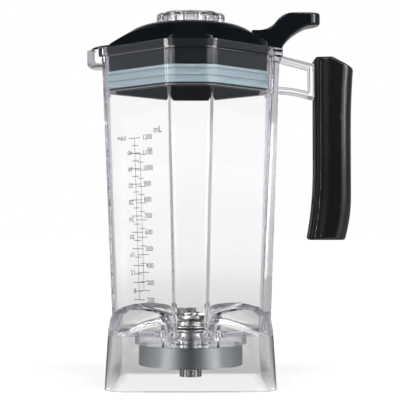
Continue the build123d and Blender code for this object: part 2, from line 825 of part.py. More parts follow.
with BuildPart() as bearing_housing:
    with BuildSketch(Plane.XY.offset(housing_foot)):
        Circle(housing_diameter / 2)
    extrude(amount=flange_foot - housing_foot)
    with BuildSketch(Plane.XY.offset(flange_foot)):
        Circle(flange_diameter / 2)
    extrude(amount=flange_thickness)
    chamfer(bearing_housing.faces().sort_by(Axis.Z)[-1].edges(), flange_thickness / 2)
    with BuildSketch(Plane.XY.offset(flange_foot)):
        Circle(housing_neck_diameter / 2)
    extrude(amount=housing_top - flange_foot)
    fillet(bearing_housing.faces().sort_by(Axis.Z)[-1].edges(), housing_rounding)
    # Bearing bore, seal pocket and the shaft's way out
    with BuildSketch(Plane.XY.offset(housing_foot)):
        Circle(bearing_diameter / 2 + fit_gap)
    extrude(amount=bearing_top - housing_foot, mode=Mode.SUBTRACT)
    with BuildSketch(Plane.XY.offset(bearing_top)):
        Circle(seal_diameter / 2 + fit_gap)
    extrude(amount=seal_foot + seal_thickness - bearing_top, mode=Mode.SUBTRACT)
    with BuildSketch(Plane.XY.offset(bearing_top)):
        Circle(shaft_diameter / 2 + moulded_gap)
    extrude(amount=housing_top - bearing_top, mode=Mode.SUBTRACT)
    # Groove for the clip
    with BuildSketch(Plane.XY.offset(lower_bearing_foot)):
        Circle(bearing_diameter / 2 + clip_groove)
    extrude(amount=-clip_thickness - fit_gap, mode=Mode.SUBTRACT)
bearing_housing.part.label = "bearing_housing"
export_step(bearing_housing.part, "parts/bearing_housing.step")

with BuildPart() as housing_gasket:
    add(ring(floor_top, gasket_thickness, flange_diameter + 2 * gasket_overhang, bore_diameter))
housing_gasket.part.label = "housing_gasket"
export_step(housing_gasket.part, "parts/housing_gasket.step")

with BuildPart() as retainer_nut:
    add(ring(nut_foot, nut_ring_height, nut_ring_diameter, nut_ring_diameter - 2 * nut_ring_wall))
    add(ring(boss_foot - nut_web, nut_web, nut_ring_diameter - nut_ring_wall, bore_diameter))
    add(ring(nut_foot + nut_hub_rise, nut_ring_height - nut_hub_rise, nut_hub_diameter, bore_diameter))
    rim_circles = retainer_nut.edges().filter_by(GeomType.CIRCLE)
    outer_limit = nut_ring_diameter / 2 - tolerance
    chamfer(rim_circles.filter_by(lambda edge: edge.radius > outer_limit), nut_chamfer)
    # Slots in the hub for a spanner
    with BuildSketch(Plane.XY.offset(nut_foot + nut_hub_rise)):
        with PolarLocations(nut_hub_diameter / 2, nut_notch_count):
            Rectangle(nut_hub_diameter / 2, nut_notch_width)
    extrude(amount=nut_notch_depth, mode=Mode.SUBTRACT)
retainer_nut.part.label = "retainer_nut"
export_step(retainer_nut.part, "parts/retainer_nut.step")

with BuildPart() as shaft_seal:
    add(ring(seal_foot, seal_thickness, seal_diameter, shaft_diameter + 2 * running_gap))
shaft_seal.part.label = "shaft_seal"
export_step(shaft_seal.part, "parts/shaft_seal.step")

with BuildPart() as bearing_clip:
    clip_diameter = bearing_diameter + 2 * clip_groove - 2 * fit_gap
    clip_foot = lower_bearing_foot - clip_thickness
    add(ring(clip_foot, clip_thickness, clip_diameter, clip_diameter - 2 * clip_width))
    with BuildSketch(Plane.XY.offset(lower_bearing_foot)):
        Rectangle(clip_diameter, clip_gap_width, align=(Align.MIN, Align.CENTER))
    extrude(amount=-clip_thickness, mode=Mode.SUBTRACT)
bearing_clip.part.label = "bearing_clip"
export_step(bearing_clip.part, "parts/bearing_clip.step")


def ball_track(foot):
    """Make the ring-shaped space that a bearing's balls run in."""
    with BuildPart() as track:
        with BuildSketch(Plane.XZ):
            with Locations((ball_circle_radius, foot + bearing_width / 2)):
                Circle(ball_diameter / 2 + ball_gap)
        revolve(axis=Axis.Z)
    return track.part


for name, bearing_foot in (("lower", lower_bearing_foot), ("upper", upper_bearing_foot)):
    with BuildPart() as outer_race:
        add(ring(bearing_foot, bearing_width, bearing_diameter, bearing_diameter - 2 * bearing_race))
        add(ball_track(bearing_foot), mode=Mode.SUBTRACT)
    outer_race.part.label = f"{name}_bearing_outer"
    export_step(outer_race.part, f"parts/{name}_bearing_outer.step")

    with BuildPart() as inner_race:
        add(ring(bearing_foot, bearing_width, inner_race_diameter, shaft_diameter + 2 * fit_gap))
        add(ball_track(bearing_foot), mode=Mode.SUBTRACT)
    inner_race.part.label = f"{name}_bearing_inner"
    export_step(inner_race.part, f"parts/{name}_bearing_inner.step")

    with BuildPart(Plane.XY.offset(bearing_foot + bearing_width / 2)) as balls:
        with PolarLocations(ball_circle_radius, ball_count):
            Sphere(ball_diameter / 2)
    balls.part.label = f"{name}_bearing_balls"
    export_step(balls.part, f"parts/{name}_bearing_balls.step")

with BuildPart() as bearing_spacer:
    spacer_foot = lower_bearing_foot + bearing_width
    spacer_bore = shaft_diameter + 2 * fit_gap
    add(ring(spacer_foot, spacer_height, spacer_bore + 2 * spacer_wall, spacer_bore))
bearing_spacer.part.label = "bearing_spacer"
export_step(bearing_spacer.part, "parts/bearing_spacer.step")

with BuildPart() as blade_shaft:
    with BuildSketch(Plane.XY.offset(shaft_foot)):
        Circle(shaft_diameter / 2)
    extrude(amount=blade_seat - shaft_foot)
    extrude(flatted_round(blade_seat, 0), amount=washer_seat - blade_seat)
    with BuildSketch(Plane.XY.offset(washer_seat)):
        Circle(stud_diameter / 2)
    extrude(amount=stud_top - washer_seat)
    chamfer(blade_shaft.faces().sort_by(Axis.Z)[-1].edges(), stud_chamfer)
blade_shaft.part.label = "blade_shaft"
export_step(blade_shaft.part, "parts/blade_shaft.step")


def bent_blade(seat, reach, angle):
    """Make a blade along X with a flat middle, two bent wings, tapered outline and bevelled edges."""
    rise = (reach - blade_bend_radius) * tan(radians(angle))
    level = seat + blade_thickness / 2
    with BuildPart() as blade:
        with BuildSketch(Plane.XZ):
            with BuildLine():
                Polyline(
                    (-reach, level + rise),
                    (-blade_bend_radius, level),
                    (blade_bend_radius, level),
                    (reach, level + rise),
                )
            trace(line_width=blade_thickness)
        extrude(amount=blade_width / 2, both=True)
        with BuildSketch():
            with BuildLine():
                Polyline(
                    (0, blade_width / 2),
                    (blade_bend_radius, blade_width / 2),
                    (reach, blade_tip_width - blade_width / 2),
                    (reach, -blade_width / 2),
                    (-blade_bend_radius, -blade_width / 2),
                    (-reach, blade_width / 2 - blade_tip_width),
                    (-reach, blade_width / 2),
                    close=True,
                )
            make_face()
        extrude(amount=2 * jar_height, both=True, mode=Mode.INTERSECT)
        # Ground bevel along the tapered edge of each wing
        for wing in (1, -1):
            wing_faces = blade.faces().filter_by(lambda face: wing * face.center().X > blade_bend_radius)
            top_face = wing_faces.sort_by(lambda face: face.normal_at().Z)[-1]
            tapered_side = top_face.edges().filter_by(lambda edge: wing * edge.center().Y > 0)
            cutting_edge = tapered_side.sort_by(SortBy.LENGTH)[-1]
            root, tip = (vertex.center() for vertex in cutting_edge.vertices().sort_by(Axis.X))
            if wing < 0:
                root, tip = tip, root
            along = (tip - root).normalized()
            inward = top_face.center() - root
            inward -= along * inward.dot(along)
            with BuildSketch(Plane(root + along * blade_bevel, x_dir=inward, z_dir=along)):
                with BuildLine():
                    past = 2 * blade_bevel_depth
                    Polyline((blade_bevel, 0), (-blade_bevel, past), (-blade_bevel, -past), close=True)
                make_face()
            extrude(amount=cutting_edge.length, mode=Mode.SUBTRACT)
    return blade.part


with BuildPart() as lower_blade:
    crossed = bent_blade(blade_seat, lower_blade_reach, lower_blade_angle)
    add(crossed.rotate(Axis.Z, blade_rest_turn + blade_cross_turn))
    extrude(flatted_round(blade_seat, fit_gap), amount=blade_thickness, mode=Mode.SUBTRACT)
lower_blade.part.label = "lower_blade"
export_step(lower_blade.part, "parts/lower_blade.step")

with BuildPart() as upper_blade:
    add(bent_blade(upper_blade_seat, upper_blade_reach, upper_blade_angle).rotate(Axis.Z, blade_rest_turn))
    extrude(flatted_round(upper_blade_seat, fit_gap), amount=blade_thickness, mode=Mode.SUBTRACT)
upper_blade.part.label = "upper_blade"
export_step(upper_blade.part, "parts/upper_blade.step")

with BuildPart() as blade_washer:
    add(ring(washer_seat, washer_height, washer_diameter, stud_diameter + 2 * fit_gap))
    fillet(blade_washer.faces().sort_by(Axis.Z)[-1].edges().sort_by(SortBy.RADIUS)[-1], washer_rounding)
blade_washer.part.label = "blade_washer"
export_step(blade_washer.part, "parts/blade_washer.step")

with BuildPart() as blade_nut:
    with BuildSketch(Plane.XY.offset(nut_seat)):
        RegularPolygon(blade_nut_size / 2, 6, major_radius=False)
        Circle(stud_diameter / 2 + fit_gap, mode=Mode.SUBTRACT)
    extrude(amount=blade_nut_height)
blade_nut.part.label = "blade_nut"
export_step(blade_nut.part, "parts/blade_nut.step")

with BuildPart() as drive_spline:
    with BuildSketch(Plane.XY.offset(spline_foot)):
        Circle(spline_root_diameter / 2)
        with PolarLocations((spline_root_diameter + spline_diameter) / 4, spline_count):
            Rectangle(spline_diameter - spline_root_diameter, spline_tooth_width)
        Circle(spline_diameter / 2, mode=Mode.INTERSECT)
        Circle(shaft_diameter / 2 + fit_gap, mode=Mode.SUBTRACT)
    extrude(amount=spline_height)
drive_spline.part.label = "drive_spline"
export_step(drive_spline.part, "parts/drive_spline.step")
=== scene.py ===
import json
from collections import namedtuple
from math import radians

import bmesh
import bpy
from mathutils import Matrix, Vector


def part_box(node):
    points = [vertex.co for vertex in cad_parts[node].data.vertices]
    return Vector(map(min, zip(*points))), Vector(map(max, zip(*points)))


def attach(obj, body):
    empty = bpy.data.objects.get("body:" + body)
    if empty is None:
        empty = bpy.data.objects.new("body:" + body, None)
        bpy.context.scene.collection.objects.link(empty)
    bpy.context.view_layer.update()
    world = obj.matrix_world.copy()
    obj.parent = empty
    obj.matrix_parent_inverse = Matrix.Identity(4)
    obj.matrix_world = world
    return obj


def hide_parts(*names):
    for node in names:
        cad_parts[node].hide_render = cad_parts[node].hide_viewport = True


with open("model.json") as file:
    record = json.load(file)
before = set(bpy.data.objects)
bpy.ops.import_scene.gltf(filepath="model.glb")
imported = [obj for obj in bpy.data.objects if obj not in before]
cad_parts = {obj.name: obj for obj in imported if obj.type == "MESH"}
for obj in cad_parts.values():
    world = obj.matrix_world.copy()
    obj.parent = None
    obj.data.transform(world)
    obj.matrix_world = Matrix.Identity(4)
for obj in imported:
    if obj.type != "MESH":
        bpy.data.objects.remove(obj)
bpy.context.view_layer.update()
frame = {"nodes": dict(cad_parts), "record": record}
nodes = frame["nodes"]
scene = bpy.context.scene

# Lengths of the part and of the camera are in millimetres, those of the floor, bumps and lamps in metres
MM = 0.001
WHITE = (1.0, 1.0, 1.0)
BLACK = (0.0, 0.0, 0.0)

# The jar's outside, as in the part: wide faces lie on |x| + |y| = reach
FLOOR_UNDER = 35.5
JAR_TOP = 238.0
FOOT_REACH = 66.65
TOP_REACH = 79.25

# Camera, from the photo's horizon and scale
CAMERA_AWAY = 909.0
CAMERA_HEIGHT = 107.7
LENS = 113.4
SENSOR = 36.0
PITCH_UP = 1.455
YAW_RIGHT = 0.423

# A noise texture's useful range
NOISE_LOW = 0.3
NOISE_HIGH = 0.7


def link(tree, output, target):
    """Join two sockets."""
    tree.links.new(output, target)


def math_node(tree, operation, *values):
    """Add a math node; each input is a socket or a number."""
    node = tree.nodes.new("ShaderNodeMath")
    node.operation = operation
    for socket, value in zip(node.inputs, values):
        if isinstance(value, (int, float)):
            socket.default_value = value
        else:
            link(tree, value, socket)
    return node.outputs[0]


def split_axes(tree, vector):
    """Return the X, Y and Z of a vector."""
    node = tree.nodes.new("ShaderNodeSeparateXYZ")
    link(tree, vector, node.inputs["Vector"])
    return [node.outputs[axis] for axis in "XYZ"]


def map_values(tree, value, start, end, low, high):
    """Add a node that maps a value from one range to another."""
    node = tree.nodes.new("ShaderNodeMapRange")
    for name, number in (("From Min", start), ("From Max", end), ("To Min", low), ("To Max", high)):
        node.inputs[name].default_value = number
    link(tree, value, node.inputs["Value"])
    return node


def map_smoothly(tree, value, start, end, low=0.0, high=1.0):
    """Map a value from one range to another, with soft ends."""
    node = map_values(tree, value, start, end, low, high)
    node.interpolation_type = "SMOOTHSTEP"
    return node.outputs["Result"]


def mix_colours(tree, factor, first, second):
    """Blend two colours by a factor; each is a socket or a tone."""
    node = tree.nodes.new("ShaderNodeMix")
    node.data_type = "RGBA"
    link(tree, factor, node.inputs["Factor"])
    for name, value in (("A", first), ("B", second)):
        if isinstance(value, tuple):
            node.inputs[name].default_value = (*value, 1.0)
        else:
            link(tree, value, node.inputs[name])
    return node.outputs["Result"]


def tone_ramp(tree, factor, tones):
    """Look up a tone by a factor."""
    node = tree.nodes.new("ShaderNodeValToRGB")
    stops = node.color_ramp.elements
    while len(stops) < len(tones):
        stops.new(0.5)
    for stop, (place, tone) in zip(stops, tones):
        stop.position = place
        stop.color = (*tone, 1.0)
    link(tree, factor, node.inputs["Fac"])
    return node.outputs["Color"]


def new_material(name):
    """Make a node material and return it with its tree and main shader."""
    material = bpy.data.materials.new(name)
    material.use_nodes = True
    tree = material.node_tree
    return material, tree, tree.nodes["Principled BSDF"]


def set_values(shader, **values):
    """Set a shader's own sockets; underscores in the names stand for spaces."""
    for key, value in values.items():
        socket = shader.inputs[key.replace("_", " ")]
        if socket.type == "RGBA" and len(value) == 3:
            value = (*value, 1.0)
        socket.default_value = value


def texture_noise(tree, scale, detail, stretch=(1, 1, 1)):
    """Add a noise texture in object space and return its factor output."""
    coords = tree.nodes.new("ShaderNodeTexCoord")
    mapping = tree.nodes.new("ShaderNodeMapping")
    mapping.inputs["Scale"].default_value = stretch
    noise = tree.nodes.new("ShaderNodeTexNoise")
    noise.inputs["Scale"].default_value = scale
    noise.inputs["Detail"].default_value = detail
    link(tree, coords.outputs["Object"], mapping.inputs["Vector"])
    link(tree, mapping.outputs["Vector"], noise.inputs["Vector"])
    return noise.outputs["Fac"]


def vary_colour(tree, shader, noise, dark, light):
    """Let a shader's colour vary between two tones."""
    link(tree, mix_colours(tree, noise, dark, light), shader.inputs["Base Color"])


def vary_rough(tree, shader, noise, rough, share):
    """Let a shader's roughness vary by a share of itself to both sides."""
    low = rough * (1 - share)
    high = rough * (1 + share)
    node = map_values(tree, noise, NOISE_LOW, NOISE_HIGH, low, high)
    link(tree, node.outputs["Result"], shader.inputs["Roughness"])


def add_bump(tree, shader, height, strength, distance):
    """Bump a shader's surface."""
    bump = tree.nodes.new("ShaderNodeBump")
    bump.inputs["Strength"].default_value = strength
    bump.inputs["Distance"].default_value = distance
    link(tree, height, bump.inputs["Height"])
    link(tree, bump.outputs["Normal"], shader.inputs["Normal"])


def clear_plastic(name, tint, density):
    """Clear moulded plastic with a faint tint in its thickness."""
    material, tree, shader = new_material(name)
    set_values(shader, Base_Color=WHITE, Transmission_Weight=1.0, IOR=1.5)
    vary_rough(tree, shader, texture_noise(tree, scale=40, detail=3), rough=0.0075, share=1.0)
    add_bump(tree, shader, texture_noise(tree, scale=25, detail=1), strength=0.004, distance=0.0005)
    absorb = tree.nodes.new("ShaderNodeVolumeAbsorption")
    absorb.inputs["Color"].default_value = (*tint, 1.0)
    absorb.inputs["Density"].default_value = density
    link(tree, absorb.outputs["Volume"], tree.nodes["Material Output"].inputs["Volume"])
    return material


def black_plastic(name, dark, light, rough, grain, shine):
    """Black moulded plastic with a fine grain and slight wear in its gloss."""
    material, tree, shader = new_material(name)
    set_values(shader, Specular_IOR_Level=shine)
    patches = texture_noise(tree, scale=30, detail=4)
    vary_colour(tree, shader, patches, dark, light)
    vary_rough(tree, shader, patches, rough, share=0.15)
    add_bump(tree, shader, texture_noise(tree, scale=1500, detail=2), strength=grain, distance=0.0002)
    return material


def brushed_metal(name, dark, light, rough, stretch):
    """Metal with fine streaks along one direction."""
    material, tree, shader = new_material(name)
    set_values(shader, Metallic=1.0)
    streaks = texture_noise(tree, scale=300, detail=4, stretch=stretch)
    vary_colour(tree, shader, streaks, dark, light)
    vary_rough(tree, shader, streaks, rough, share=0.3)
    add_bump(tree, shader, streaks, strength=0.15, distance=0.0002)
    return material


def soft_rubber(name, dark, light, rough, glow):
    """Rubber or silicone with cloudy colour."""
    material, tree, shader = new_material(name)
    set_values(shader, Subsurface_Weight=glow, Subsurface_Radius=(0.004, 0.004, 0.004))
    clouds = texture_noise(tree, scale=60, detail=3)
    vary_colour(tree, shader, clouds, dark, light)
    vary_rough(tree, shader, clouds, rough, share=0.2)
    add_bump(tree, shader, texture_noise(tree, scale=900, detail=2), strength=0.1, distance=0.0002)
    return material


def printing_ink(name, dark, light):
    """Printing ink, thin enough to vary a little."""
    material, tree, shader = new_material(name)
    patches = texture_noise(tree, scale=400, detail=3)
    vary_colour(tree, shader, patches, dark, light)
    vary_rough(tree, shader, patches, rough=0.5, share=0.2)
    return material


# The directions of the brushed streaks
AROUND = (1, 1, 12)
ALONG_BLADE = (6, 1, 1)
AROUND_SPLINE = (1, 1, 8)

handle_tones = {"dark": (0.0012, 0.0012, 0.0014), "light": (0.0026, 0.0026, 0.0029)}
lid_tones = {"dark": (0.0012, 0.002, 0.0032), "light": (0.0022, 0.0034, 0.0048)}
silicone_tones = {"dark": (0.48, 0.61, 0.67), "light": (0.54, 0.67, 0.73)}
rubber_tones = {"dark": (0.02, 0.02, 0.02), "light": (0.03, 0.03, 0.03)}
steel_tones = {"dark": (0.44, 0.435, 0.425), "light": (0.58, 0.575, 0.565)}
blade_tones = {"dark": (0.6, 0.6, 0.6), "light": (0.75, 0.75, 0.75)}
polished_tones = {"dark": (0.36, 0.38, 0.4), "light": (0.44, 0.46, 0.48)}
spline_tones = {"dark": (0.4, 0.4, 0.4), "light": (0.55, 0.55, 0.55)}
ink_tones = {"dark": (0.025, 0.025, 0.025), "light": (0.06, 0.06, 0.06)}

materials = {
    "clear_plastic": clear_plastic("jar_clear", tint=(0.78, 0.77, 0.86), density=5.0),
    "cap_clear": clear_plastic("cap_clear", tint=(0.8, 0.8, 0.82), density=2.0),
    "handle_black": black_plastic("handle_satin", **handle_tones, rough=0.2, grain=0.08, shine=0.5),
    "lid_black": black_plastic("lid_gloss", **lid_tones, rough=0.12, grain=0.03, shine=0.3),
    "silicone": soft_rubber("silicone", **silicone_tones, rough=0.4, glow=0.2),
    "dark_rubber": soft_rubber("dark_rubber", **rubber_tones, rough=0.6, glow=0.0),
    "steel": brushed_metal("steel", **steel_tones, rough=0.25, stretch=AROUND),
    "blade_steel": brushed_metal("blade_steel", **blade_tones, rough=0.22, stretch=ALONG_BLADE),
    "polished_metal": brushed_metal("polished", **polished_tones, rough=0.1, stretch=AROUND),
    "spline_steel": brushed_metal("spline_steel", **spline_tones, rough=0.3, stretch=AROUND_SPLINE),
}
for subpart in frame["record"]["subparts"]:
    mesh = nodes[subpart["node"]].data
    mesh.materials.clear()
    mesh.materials.append(materials[subpart["material_slot"]])

# The strip on the jar's side of the handle is duller than the hand side
strip_black = black_plastic("handle_strip", **handle_tones, rough=0.45, grain=0.08, shine=0.2)
nodes["handle_front"].data.materials[0] = strip_black

# The hand side of the handle: its flat sides swell behind the seam, which curves in at the foot
SEAM_X = 91.5
SEAM_BEND_Z = 152.0
SEAM_TOE_Z = 102.0
SEAM_TOE = 4.9
SWELL_LENGTH = 10.0
SWELL_SHARE = 0.115
CUT_STEP = 1.0
CUT_RISE = 4.0
GRIP_WELD = 0.001
SHARP_ANGLE = 30.0


def seam_place(z):
    """Return where the handle's seam is at a height."""
    drop = max(0.0, (SEAM_BEND_Z - z) / (SEAM_BEND_Z - SEAM_TOE_Z))
    return SEAM_X - SEAM_TOE * drop**2


def cut_rows(bm, low, high, step, axis):
    """Cut a mesh into rows along an axis, which leaves its shape as it is."""
    for index in range(int((high - low) / step)):
        place = axis * ((low + (index + 0.5) * step) * MM)
        everything = bm.verts[:] + bm.edges[:] + bm.faces[:]
        bmesh.ops.bisect_plane(bm, geom=everything, plane_co=place, plane_no=axis)


def swollen_grip():
    """Make the hand side of the handle with swollen sides."""
    bm = bmesh.new()
    bm.from_mesh(nodes["handle_grip"].data)
    bmesh.ops.remove_doubles(bm, verts=bm.verts, dist=GRIP_WELD * MM)
    low, high = (Vector(corner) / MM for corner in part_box("handle_grip"))
    cut_rows(bm, low.x, high.x, CUT_STEP, Vector((1, 0, 0)))
    cut_rows(bm, low.z, high.z, CUT_RISE, Vector((0, 0, 1)))
    bmesh.ops.triangulate(bm, faces=bm.faces)
    for vert in bm.verts:
        share = (vert.co.x / MM - seam_place(vert.co.z / MM)) / SWELL_LENGTH
        share = min(1.0, max(0.0, share))
        vert.co.y *= 1 + SWELL_SHARE * share**2 * (3 - 2 * share)
    mesh = bpy.data.meshes.new("grip")
    bm.to_mesh(mesh)
    bm.free()
    mesh.shade_smooth()
    mesh.set_sharp_from_angle(angle=radians(SHARP_ANGLE))
    mesh.materials.append(materials["handle_black"])
    grip = bpy.data.objects.new("grip", mesh)
    scene.collection.objects.link(grip)
    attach(grip, "jar_unit")
    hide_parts("handle_grip")


swollen_grip()

# Printed marks. Heights follow the volume that the jar holds, in steps of 100 mL above the lowest mark
LOWEST_VOLUME = 200
HIGHEST_VOLUME = 1200
VOLUME_STEP = 100
HALF_STEP = 50
LOWEST_Z = 60.7
STEP_Z = 12.03
STEP_BEND = 0.082
OUNCE_ML = 28.41
LOWEST_OUNCES = 8
HIGHEST_OUNCES = 40
OUNCE_STEP = 2
OUNCE_FIGURE_STEP = 4

# The ink's depth in the wall and rise above it, and the sizes of marks and figures
INK_DEPTH = 0.02
INK_RISE = 0.05
INK_WELD = 0.0005
LINE_WIDTH = 0.42
SPINE_SHARE = 0.8
LONG_MARK = 5.6
SHORT_MARK = 3.2
FIGURE_SIZE = 5.0
FIGURE_GAP = 2.2
LETTER_CURVE = 3

Word = namedtuple("Word", "letters across volume size")


def mark_height(volume):
    """Return the height of a volume's mark."""
    steps = (volume - LOWEST_VOLUME) / VOLUME_STEP
    return LOWEST_Z + STEP_Z * steps - STEP_BEND * steps**2


def list_marks(lowest, highest, step, figure_step, unit):
    """List a scale's marks: each one's volume in mL, and its figures if it has any."""
    amounts = range(lowest, highest + 1, step)
    return [(amount * unit, "" if amount % figure_step else str(amount)) for amount in amounts]


def wide_face(x_sign, y_sign):
    """Return the plane of one of the jar's wide faces, and how far it rises for each step along it.

    The plane's axes are across, up and out, and it starts from the face's middle at z = 0.
    """
    lean = (TOP_REACH - FOOT_REACH) / (JAR_TOP - FLOOR_UNDER)
    zero_reach = FOOT_REACH - lean * FLOOR_UNDER
    up = Vector((x_sign * lean / 2, y_sign * lean / 2, 1)).normalized()
    across = Vector((0, 0, 1)).cross(Vector((x_sign, y_sign, 0))).normalized()
    out = across.cross(up)
    matrix = Matrix((across, up, out)).transposed().to_4x4()
    matrix.translation = Vector((x_sign * zero_reach / 2, y_sign * zero_reach / 2, 0))
    return matrix, up.z


def add_line(bm, start, end, width):
    """Add a thin printed line between two points in the face's plane."""
    start, end = Vector(start), Vector(end)
    side = Vector((-(end - start).y, (end - start).x)).normalized() * width / 2
    corners = [start - side, end - side, end + side, start + side]
    low = [bm.verts.new((*corner, -INK_DEPTH)) for corner in corners]
    high = [bm.verts.new((*corner, INK_RISE)) for corner in corners]
    bm.faces.new(reversed(low))
    bm.faces.new(high)
    for index in range(len(corners)):
        after = (index + 1) % len(corners)
        bm.faces.new((low[index], low[after], high[after], high[index]))


def add_text(bm, letters, place, size, align):
    """Add printed letters or figures at a place in the face's plane."""
    curve = bpy.data.curves.new("words", "FONT")
    curve.body = letters
    curve.size = size
    curve.align_x = align
    curve.align_y = "CENTER"
    curve.resolution_u = LETTER_CURVE
    curve.extrude = (INK_DEPTH + INK_RISE) / 2
    holder = bpy.data.objects.new("words", curve)
    scene.collection.objects.link(holder)
    bpy.context.view_layer.update()
    solid = holder.evaluated_get(bpy.context.evaluated_depsgraph_get()).to_mesh()
    solid.transform(Matrix.Translation((*place, (INK_RISE - INK_DEPTH) / 2)))
    bm.from_mesh(solid)
    bpy.data.objects.remove(holder)
    bpy.data.curves.remove(curve)


def printed_scale(name, face, spine, volumes, words):
    """Make one printed scale: a spine, its long and short marks, figures and other words."""
    matrix, up_z = face
    bm = bmesh.new()
    foot = mark_height(volumes[0][0]) / up_z
    head = mark_height(volumes[-1][0]) / up_z
    add_line(bm, (spine, foot), (spine, head), LINE_WIDTH * SPINE_SHARE)
    for volume, figures in volumes:
        height = mark_height(volume) / up_z
        half = LONG_MARK if figures else SHORT_MARK
        add_line(bm, (spine - half, height), (spine + half, height), LINE_WIDTH)
        if figures:
            add_text(bm, figures, (spine + half + FIGURE_GAP, height), FIGURE_SIZE, "LEFT")
    for word in words:
        place = (spine + word.across, mark_height(word.volume) / up_z)
        add_text(bm, word.letters, place, word.size, "CENTER")
    bmesh.ops.remove_doubles(bm, verts=bm.verts, dist=INK_WELD)
    bmesh.ops.recalc_face_normals(bm, faces=bm.faces)
    bm.transform(Matrix.Scale(MM, 4) @ matrix)
    mesh = bpy.data.meshes.new(name)
    bm.to_mesh(mesh)
    bm.free()
    mesh.materials.append(ink)
    marks = bpy.data.objects.new(name, mesh)
    scene.collection.objects.link(marks)
    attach(marks, "jar_unit")


ink = printing_ink("printing_ink", **ink_tones)
printed_scale(
    "scale_ml",
    face=wide_face(-1, -1),
    spine=-2.0,
    volumes=list_marks(LOWEST_VOLUME, HIGHEST_VOLUME, HALF_STEP, VOLUME_STEP, unit=1),
    words=[
        Word("MAX", across=-13.0, volume=1200, size=4.4),
        Word("mL", across=23.5, volume=1245, size=6.5),
    ],
)
printed_scale(
    "scale_oz",
    face=wide_face(-1, 1),
    spine=0.6,
    volumes=list_marks(LOWEST_OUNCES, HIGHEST_OUNCES, OUNCE_STEP, OUNCE_FIGURE_STEP, unit=OUNCE_ML),
    words=[Word("oz", across=-10.0, volume=1180, size=5.0)],
)

# What polished surfaces mirror around the object, in the room and on the floor.
# Each tone has a place in the turn from behind the object (0) to its front (1)
ROOM_TONES = (
    (0.0, (0.8, 0.79, 0.81)),
    (0.004, (0.8, 0.79, 0.81)),
    (0.008, (0.25, 0.24, 0.28)),
    (0.0196, (0.3, 0.29, 0.34)),
    (0.067, (0.52, 0.505, 0.57)),
    (0.25, (0.35, 0.335, 0.4)),
    (0.5, (0.385, 0.415, 0.455)),
    (0.9, (0.6, 0.6, 0.6)),
    (0.97, (0.18, 0.2, 0.23)),
    (1.0, (0.18, 0.2, 0.23)),
)
FLOOR_TONES = (
    (0.0, (0.5, 0.5, 0.51)),
    (0.015, (0.5, 0.5, 0.51)),
    (0.04, (0.25, 0.25, 0.26)),
    (0.067, (0.2, 0.2, 0.21)),
    (0.25, (0.43, 0.43, 0.45)),
    (0.5, (0.6, 0.6, 0.61)),
    (0.67, (0.75, 0.75, 0.76)),
    (0.84, (1.6, 1.6, 1.62)),
    (0.91, (1.0, 1.0, 1.0)),
    (0.97, (0.3, 0.3, 0.31)),
    (1.0, (0.08, 0.08, 0.085)),
)

# Two wide soft lights stand in front, left and right, and are mirrored brighter than white.
# They fade in above the floor and out below the ceiling, by the rise of the direction
LIGHT_TONES = (
    (0.0, BLACK),
    (0.6, BLACK),
    (0.68, WHITE),
    (0.95, WHITE),
    (0.975, BLACK),
)
LIGHT_LEVEL = 3.0
LIGHT_FOOT_LOW = 0.02
LIGHT_FOOT_HIGH = 0.1
LIGHT_HEAD_LOW = 0.5
LIGHT_HEAD_HIGH = 0.75

# The mirrored room is darker overhead, at the horizon, and behind the object from some height up
OVERHEAD_LOW = 0.1
OVERHEAD_HIGH = 0.78
OVERHEAD_DARK = 0.95
HORIZON_RISE = 0.1
HORIZON_DARK = 0.3
ABOVE_LOW = 0.09
ABOVE_HIGH = 0.13
ABOVE_DARK = 0.3
BEHIND_NEAR = 0.03
BEHIND_FAR = 0.06

# The floor seen through clear pieces, by distance from the drive axis along X or Y: light inside the
# skirt, in shade behind it, and lighter again far away. Each tone has a place as a share of the reach
SHADE_REACH = 3.0
SHADE_TONES = (
    (0.0, (1.08, 1.08, 1.08)),
    (0.0188, (1.06, 1.06, 1.06)),
    (0.0196, (0.58, 0.58, 0.58)),
    (0.1, (0.64, 0.64, 0.64)),
    (0.35, (0.9, 0.9, 0.89)),
    (0.7, (1.05, 1.05, 1.04)),
    (1.0, (1.14, 1.14, 1.14)),
)
FAR_REACH = 9.0
FAR_TONE = (1.19, 1.19, 1.19)

# The room seen through clear pieces, from the horizon up, which makes up for what their walls throw back
CLEAR_RISE = 0.06
CLEAR_TONE = (1.1, 1.1, 1.1)
HORIZON_TONE = (1.03, 1.03, 1.03)
CEILING_LOW = 0.25
CEILING_HIGH = 0.5
CEILING_TONE = (0.75, 0.75, 0.77)

# Grey strips that stand between the eight sides of the set draw the edges of clear pieces
SET_SIDES = 8
STRIP_EDGE = 0.25
STRIP_TONE = (0.41, 0.405, 0.43)
STRIP_NEAR = 0.5
STRIP_FAR = 1.0

# The floor glows pale, and less around the foot: a painted shade there, which also lets the object's real
# shadow show
HALF_FLOOR = 20.0
FLOOR_DROP = 0.0002
FLOOR_DULL = (0.06, 0.06, 0.06)
FLOOR_DULL_SEEN = (0.25, 0.25, 0.25)
FLOOR_LEVEL = 0.84
FLOOR_SEEN = (1.06, 1.06, 1.06)
FOOT_PAINTED_SHADE = (0.87, 0.87, 0.87)
SHADOW_NEAR = 0.08
SHADOW_FAR = 0.25

# Soft light of the room on surfaces, and the point that the lamps face
FILL = (0.55, 0.55, 0.55)
MIDDLE = (0, 0, 0.13)


